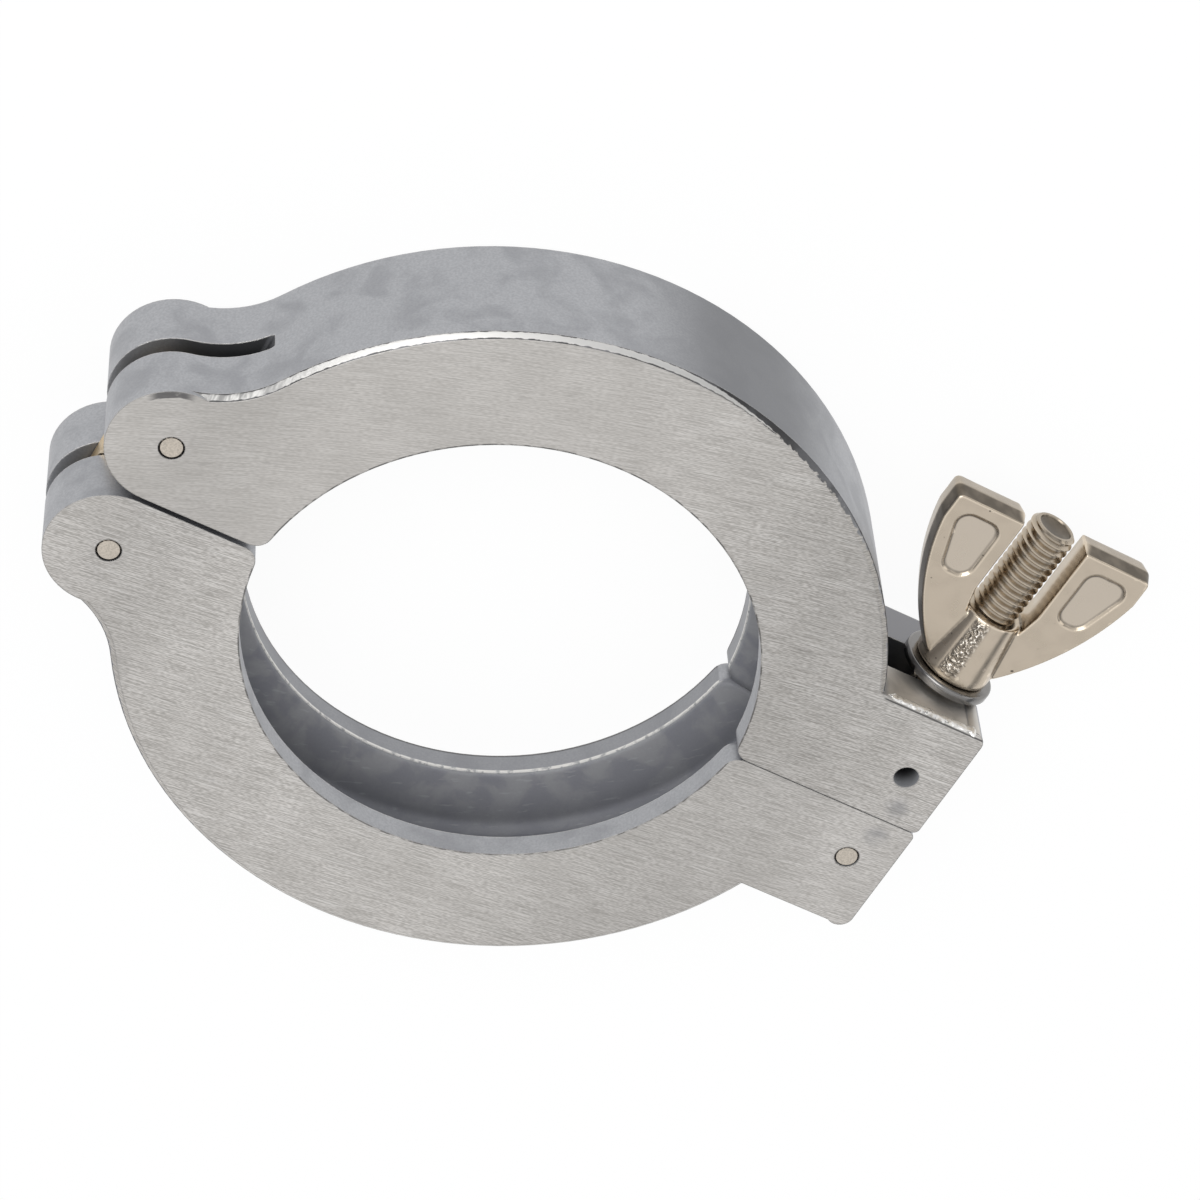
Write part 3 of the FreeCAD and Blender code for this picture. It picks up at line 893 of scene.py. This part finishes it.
class CLAMP_OT_halves(bpy.types.Operator):
    """Finish the two cast halves"""

    bl_idname = "clamp.halves"
    bl_label = "Cast halves"

    def execute(self, context):
        finish = context.scene.clamp_finish
        angle = finish.scratch_angle
        dress("upper_half", die_cast_aluminium(
            "Die-cast aluminium, upper half", finish, side=1, belt_angle=angle, bend=1.8,
            edge_light=1.0, scored_along=(-12 * MM, 28 * MM, 0.25, 0.8)))
        dress("lower_half", die_cast_aluminium(
            "Die-cast aluminium, lower half", finish, side=-1,
            belt_angle=angle - math.radians(5), bend=0.0, edge_light=0.0,
            scored_along=(-25 * MM, 5 * MM, 0.65, 0.5)))
        return {"FINISHED"}


class CLAMP_OT_link(bpy.types.Operator):
    """Finish the hinge link"""

    bl_idname = "clamp.link"
    bl_label = "Hinge link"

    def execute(self, context):
        dress("hinge_link", yellow_zinc("Yellow zinc plate", context.scene.clamp_finish.zinc))
        return {"FINISHED"}


def thread_shade(thread, end, point):
    """Painted shade in the hollow in the bolt's end, and a little in the thread's roots."""
    radius = math.hypot(point.x, point.z)
    if radius < thread.dish_radius - 0.05 * MM and point.y > end - 1.2 * thread.dish:
        return 0.8
    return 0.3 * ramp(radius, THREAD_CREST - 0.15 * MM, THREAD_CREST - thread.depth)


class CLAMP_OT_swing_bolt(bpy.types.Operator):
    """Cut the thread and the dished end of the swing bolt"""

    bl_idname = "clamp.swing_bolt"
    bl_label = "Swing bolt"

    def execute(self, context):
        thread = context.scene.clamp_thread
        end = box_on_bolt("swing_bolt")[1].y
        past_end = end + thread.pitch
        bolt = copy_of_node("swing_bolt", "threaded_swing_bolt")
        groove = helix_groove(thread, thread.start, past_end)
        cut_away(bolt, place_shape(groove, "thread_groove", bolt_frame()))
        rim = thread.dish_radius
        hollow = turned([
            (0, end - thread.dish), (rim * 0.6, end - thread.dish * 0.8),
            (rim - 0.1 * MM, end - 0.2 * MM), (rim, end), (rim, past_end), (0, past_end)])
        cut_away(bolt, place_shape(hollow, "end_hollow", bolt_frame()))
        smooth_below(bolt, 28)
        # Painted shade in the bolt's hollows
        paint(bolt, "painted_shade", [
            thread_shade(thread, end, point) for point, _ in spots_on_bolt(bolt)])
        plate = nickel_plate("Nickel-plated steel", context.scene.clamp_nut.nickel, 1.5 * MM)
        hand_over(bolt, plate, "bolt", SLOT_NICKEL, "swing_bolt")
        return {"FINISHED"}


class CLAMP_OT_washer(bpy.types.Operator):
    """Build the stamped washer with its rolled edges"""

    bl_idname = "clamp.washer"
    bl_label = "Washer"

    def execute(self, context):
        low, high = box_on_bolt("flat_washer")
        outer = high.x
        bottom = low.y
        top = high.y
        profile = [
            (WASHER_BORE, bottom + 0.1 * MM), (WASHER_BORE + 0.1 * MM, bottom),
            (outer - 0.12 * MM, bottom), (outer - 0.03 * MM, bottom + 0.05 * MM),
            (outer, bottom + 0.15 * MM), (outer, top - 0.3 * MM),
            (outer - 0.06 * MM, top - 0.13 * MM), (outer - 0.18 * MM, top - 0.03 * MM),
            (outer - 0.35 * MM, top), (WASHER_BORE + 0.15 * MM, top),
            (WASHER_BORE, top - 0.15 * MM)]
        washer = place_shape(turned(profile, closed=True), "stamped_washer", bolt_frame())
        smooth_below(washer, 40)
        plate = nickel_plate("Dull nickel-plated washer", context.scene.clamp_nut.washer, 1.0 * MM)
        hand_over(washer, plate, "washer", SLOT_NICKEL, "flat_washer")
        return {"FINISHED"}


def pad_floor(height, point):
    """1 on the sunk floors of the pads, where the tumbling left the plating pale."""
    depth = abs(point.z)
    on_floor = ramp(depth, 1.95 * MM, 1.86 * MM) * ramp(depth, 1.6 * MM, 1.7 * MM)
    outward = ramp(abs(point.x), 5.4 * MM, 5.9 * MM)
    return on_floor * outward * ramp(height, 11 * MM, 12 * MM)


def gate_band(height, point):
    """1 along the rough band up the front of the hub, left where the gate was broken off."""
    from_front = math.degrees(math.atan2(point.x, point.z))
    band_middle = -22
    band = ramp(abs(from_front - band_middle), 17, 8)
    return band * ramp(height, 0.6 * MM, 1.4 * MM) * ramp(height, 9.0 * MM, 8.2 * MM)


def wing_shade(height, point, normal):
    """Painted shade in the tapped hole and on the wings' slopes, strongest on their front half."""
    radius = math.hypot(point.x, point.z)
    sloped = ramp(abs(normal.z), 0.5, 0.3)
    front = ramp(point.z, -0.1 * MM, 0.25 * MM)
    on_wing = ramp(radius, 4.3 * MM, 5.2 * MM)
    faces_bolt = normal.x * point.x < 0 and height < 20 * MM
    at_back = 0.3
    at_front = 0.45 if faces_bolt else 0.82
    in_hole = 0.6 * ramp(radius, 3.3 * MM, 3.05 * MM)
    return max(sloped * on_wing * (at_back + (at_front - at_back) * front), in_hole)


class CLAMP_OT_wing_nut(bpy.types.Operator):
    """Build the cast wing nut with its soft corners and the rough band on its hub"""

    bl_idname = "clamp.wing_nut"
    bl_label = "Wing nut"

    def execute(self, context):
        sizes = context.scene.clamp_nut
        base = box_on_bolt("wing_nut")[0].y
        nut = copy_of_node("wing_nut", "cast_wing_nut")
        collar_top = base + 1.4 * MM
        collar = turned([
            (HUB_BORE, base), (4.5 * MM, base), (4.75 * MM, base + 0.12 * MM),
            (4.85 * MM, base + 0.4 * MM), (4.75 * MM, collar_top), (HUB_BORE, collar_top)],
            closed=True)
        add_shape(nut, collar, bolt_frame())
        cells = nut.modifiers.new("cells", "REMESH")
        cells.mode = "VOXEL"
        cells.voxel_size = sizes.voxel
        soften = nut.modifiers.new("soften", "SMOOTH")
        soften.factor = 0.5
        soften.iterations = sizes.smoothing
        apply_modifiers(nut)
        spots = spots_on_bolt(nut)
        rough = [gate_band(point.y - base, point) for point, _ in spots]
        paint(nut, "spatter", rough)
        # Painted shade in the nut's hole and on its wings' slopes
        paint(nut, "painted_shade", [
            wing_shade(point.y - base, point, normal) for point, normal in spots])
        paint(nut, "pad", [pad_floor(point.y - base, point) for point, _ in spots])
        lump_size = 0.4 * MM
        lumps = [
            vertex.normal * share * sizes.spatter * noise.noise(vertex.co / lump_size)
            for vertex, share in zip(nut.data.vertices, rough)]
        for vertex, lump in zip(nut.data.vertices, lumps):
            vertex.co += lump
        nut.data.shade_smooth()
        plate = nickel_plate("Nickel-plated casting", sizes.nickel, 2.0 * MM, 0.6)
        hand_over(nut, plate, "nut", SLOT_NICKEL, "wing_nut")
        return {"FINISHED"}


def serrated_pin(sizes, radius, half):
    """Pin about +Z with serrations along it and plain ends, chamfered to their radius."""
    shape = bmesh.new()
    steps = 6
    sides = steps * sizes.teeth
    rings = []
    for height, end_radius in (
            (half, sizes.end_radius), (half - PIN_CHAMFER, None), (0.0, None),
            (PIN_CHAMFER - half, None), (-half, sizes.end_radius)):
        ring = []
        for side in range(sides):
            turn = FULL_TURN * side / sides
            wave = abs(2 * (side % steps) / steps - 1)
            reach = end_radius or radius - sizes.tooth_depth * wave
            ring.append(shape.verts.new((reach * math.cos(turn), reach * math.sin(turn), height)))
        rings.append(ring)
    return join_rings(shape, rings)


class CLAMP_OT_pins(bpy.types.Operator):
    """Build the serrated pins of the hinge and the bolt"""

    bl_idname = "clamp.pins"
    bl_label = "Pins"

    def execute(self, context):
        sizes = context.scene.clamp_pins
        steel = drawn_steel("Drawn steel", sizes.steel)
        for node, body in (
                ("lower_hinge_pin", "lower_half"), ("upper_hinge_pin", "upper_half"),
                ("bolt_pin", "lower_half")):
            low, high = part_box(node)
            middle = (low + high) / 2
            half = (high.z - low.z) / 2 + sizes.proud
            shape = serrated_pin(sizes, (high.x - low.x) / 2, half)
            pin = place_shape(shape, "serrated_" + node, Matrix.Translation(middle))
            smooth_below(pin, 20)
            hand_over(pin, steel, body, SLOT_PIN, node)
        return {"FINISHED"}


class CLAMP_OT_seat_burr(bpy.types.Operator):
    """Raise the ragged burr on the front edge of the seat under the washer"""

    bl_idname = "clamp.seat_burr"
    bl_label = "Seat burr"

    def execute(self, context):
        sizes = context.scene.clamp_burr
        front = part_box("upper_half")[1].z
        long = sizes.end - sizes.start
        steps = round(long / BURR_STEP)
        knob_place = 0.95
        rag_size = 0.6 * MM
        rag_reach = 4 * MM
        shape = bmesh.new()
        rings = []
        for step in range(steps + 1):
            share = step / steps
            x = sizes.start + long * share
            taper = min(1.0, 12 * share, math.sqrt(0.02 + 30 * (1 - share)))
            knob = 1 + 0.5 * math.exp(-((share - knob_place) / 0.03) ** 2)
            ring = []
            for side in range(BURR_SIDES):
                turn = FULL_TURN * side / BURR_SIDES
                up = math.cos(turn)
                out = math.sin(turn)
                rag = noise.noise(Vector((x, rag_reach * up, rag_reach * out)) / rag_size)
                reach = sizes.width * taper * knob * (0.85 + 0.35 * rag)
                ring.append(shape.verts.new((
                    x, sizes.seat_height + 0.45 * up * reach - 0.02 * MM,
                    front - 0.55 * sizes.width + out * reach)))
            rings.append(ring)
        burr = place_shape(join_rings(shape, rings), "seat_burr")
        smooth_below(burr, 50)
        hand_over(burr, torn_aluminium("Torn aluminium"), "upper_half", SLOT_ALUMINIUM)
        return {"FINISHED"}


class CLAMP_OT_stage(bpy.types.Operator):
    """Set up the floor, the lamps, the world and the camera"""

    bl_idname = "clamp.stage"
    bl_label = "Stage"

    def execute(self, context):
        settings = context.scene.clamp_stage
        self.add_floor(settings)
        self.add_world(context.scene)
        self.add_lamps()
        self.add_camera(context.scene, settings)
        context.scene.view_settings.view_transform = "Standard"
        return {"FINISHED"}

    def add_floor(self, settings):
        """White paper under the clamp: its colour is white to the camera, under a soft shadow."""
        half = settings.floor_size / 2
        shape = bmesh.new()
        corners = [(-half, -half), (half, -half), (half, half), (-half, half)]
        shape.faces.new([shape.verts.new((x, y, cad_box[0].z)) for x, y in corners])
        floor = place_shape(shape, "paper_floor")
        material, tree = new_material("White paper")
        paper = add_node(
            tree, "ShaderNodeBsdfDiffuse", {"Color": (*linear("FAFAFA"), 1.0), "Roughness": 0.0})
        white = add_node(tree, "ShaderNodeEmission", {"Color": (1, 1, 1, 1), "Strength": 1.0})
        rays = add_node(tree, "ShaderNodeLightPath").outputs
        seen = where_either(
            tree, where_either(tree, rays["Is Camera Ray"], rays["Is Glossy Ray"]),
            rays["Is Transmission Ray"])
        share = where_all(tree, seen, 0.94)
        shader = add_node(tree, "ShaderNodeMixShader", {0: share, 1: paper, 2: white})
        add_node(tree, "ShaderNodeOutputMaterial", {"Surface": shader})
        floor.data.materials.append(material)

    def add_world(self, scene):
        """Studio that is white at the horizon and overhead, with a darker band between.

        A black card stands behind the clamp, on the right of the picture."""
        world = bpy.data.worlds.new("Studio")
        world.use_nodes = True
        tree = world.node_tree
        tree.nodes.clear()
        way = add_node(tree, "ShaderNodeTexCoord").outputs["Generated"]
        rise = add_node(tree, "ShaderNodeSeparateXYZ", {0: way}).outputs["Z"]
        lit = where_either(
            tree, fade(tree, rise, 0.4, 0.58), fade(tree, rise, 0.12, 0.3, 1.0, 0.0))
        to_card = add_node(
            tree, "ShaderNodeVectorMath", {0: way, 1: (0.78, 0.55, 0.3)}, operation="DOT_PRODUCT")
        card = fade(tree, to_card.outputs["Value"], 0.9, 0.96)
        to_camera = add_node(tree, "ShaderNodeLightPath").outputs["Is Camera Ray"]
        tone = coated(
            tree, "85878B", (lit, "F4F5F7"), (card, "3C3D40"), (to_camera, "FFFFFF"))
        sky = add_node(tree, "ShaderNodeBackground", {"Color": tone, "Strength": 1.0})
        add_node(tree, "ShaderNodeOutputWorld", {"Surface": sky})
        scene.world = world

    def add_lamps(self):
        """One large soft box up to the left of the picture, and a weaker one on its right."""
        for name, place, side, watts in (
                ("key", (-0.6, 0.5, 1.1), 0.9, 7.0), ("fill", (1.1, 0.7, 0.5), 0.7, 2.0)):
            light = bpy.data.lights.new(name, "AREA")
            light.shape = "SQUARE"
            light.size = side
            light.energy = watts
            lamp = bpy.data.objects.new(name, light)
            lamp.location = place
            lamp.rotation_euler = (-Vector(place)).to_track_quat("-Z", "Y").to_euler()
            bpy.context.scene.collection.objects.link(lamp)

    def add_camera(self, scene, settings):
        """Camera where the photograph was taken from."""
        place = Vector(settings.camera_place)
        view = Vector(settings.camera_aim) - place
        data = bpy.data.cameras.new("camera")
        data.sensor_width = 36.0
        data.lens = settings.lens
        data.clip_start = 0.01
        data.clip_end = 20.0
        camera = bpy.data.objects.new("camera", data)
        turn = view.to_track_quat("-Z", "Y").to_matrix().to_4x4()
        roll = Matrix.Rotation(settings.camera_roll, 4, "Z")
        camera.matrix_world = Matrix.Translation(place) @ turn @ roll
        scene.collection.objects.link(camera)
        scene.camera = camera


OPERATORS = [
    CLAMP_OT_halves,
    CLAMP_OT_link,
    CLAMP_OT_swing_bolt,
    CLAMP_OT_washer,
    CLAMP_OT_wing_nut,
    CLAMP_OT_pins,
    CLAMP_OT_seat_burr,
    CLAMP_OT_stage,
]


class CLAMP_PT_sidebar(bpy.types.Panel):
    """Lists the clamp's pieces and their sizes"""

    bl_idname = "CLAMP_PT_sidebar"
    bl_label = "Vacuum flange clamp"
    bl_space_type = "VIEW_3D"
    bl_region_type = "UI"
    bl_category = "Clamp"

    def draw(self, context):
        for operator in OPERATORS:
            self.layout.operator(operator.bl_idname)
        for name, group in GROUPS.items():
            values = getattr(context.scene, name)
            box = self.layout.box()
            for field in group.__annotations__:
                box.prop(values, field)


CLASSES = [*GROUPS.values(), *OPERATORS, CLAMP_PT_sidebar]


def register():
    for made in CLASSES:
        bpy.utils.register_class(made)
    for name, group in GROUPS.items():
        setattr(bpy.types.Scene, name, PointerProperty(type=group))


def unregister():
    for name in GROUPS:
        delattr(bpy.types.Scene, name)
    for made in reversed(CLASSES):
        bpy.utils.unregister_class(made)


def main():
    register()
    bpy.ops.clamp.halves()
    bpy.ops.clamp.link()
    bpy.ops.clamp.swing_bolt()
    bpy.ops.clamp.washer()
    bpy.ops.clamp.wing_nut()
    bpy.ops.clamp.pins()
    bpy.ops.clamp.seat_burr()
    bpy.ops.clamp.stage()


if __name__ == "__main__":
    main()
